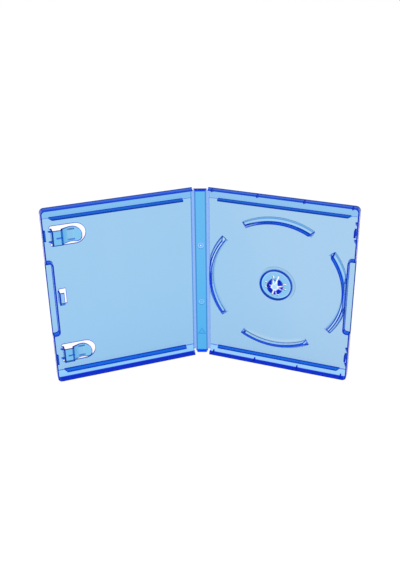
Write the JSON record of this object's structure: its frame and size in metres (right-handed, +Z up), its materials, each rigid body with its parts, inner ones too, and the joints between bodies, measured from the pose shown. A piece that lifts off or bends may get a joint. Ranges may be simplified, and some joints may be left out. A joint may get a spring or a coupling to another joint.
{
  "type": "disc case",
  "caption": "Clear blue moulded case for a game disc, standing open like a book: front cover with booklet clips, narrow spine, and disc tray with a split hub, joined by two living hinges.",
  "frame": {"origin": "on the surface that the case stands on, under the middle of its outer box", "axes": "+X from the front cover to the disc tray, +Y to the back, behind the spine, +Z up along the spine"},
  "size_m": [0.2674, 0.0526, 0.17],
  "materials": {
    "clear_blue_plastic": "clear blue tint, polished"
  },
  "bodies": {
    "spine": {"spine": "clear_blue_plastic", "cover_hinge_web": "clear_blue_plastic", "tray_hinge_web": "clear_blue_plastic"},
    "cover": {"front_cover": "clear_blue_plastic"},
    "tray": {"disc_tray": "clear_blue_plastic"}
  },
  "joints": [
    {"name": "cover_hinge", "type": "hinge", "parent": "spine", "child": "cover", "pos_m": [-0.0068, 0.02628, 0.085], "axis": [0, 0, 1], "range_deg": [-20, 70], "deforming": ["cover_hinge_web"]},
    {"name": "tray_hinge", "type": "hinge", "parent": "spine", "child": "tray", "pos_m": [0.0068, 0.02628, 0.085], "axis": [0, 0, -1], "range_deg": [-20, 70], "deforming": ["tray_hinge_web"]}
  ]
}
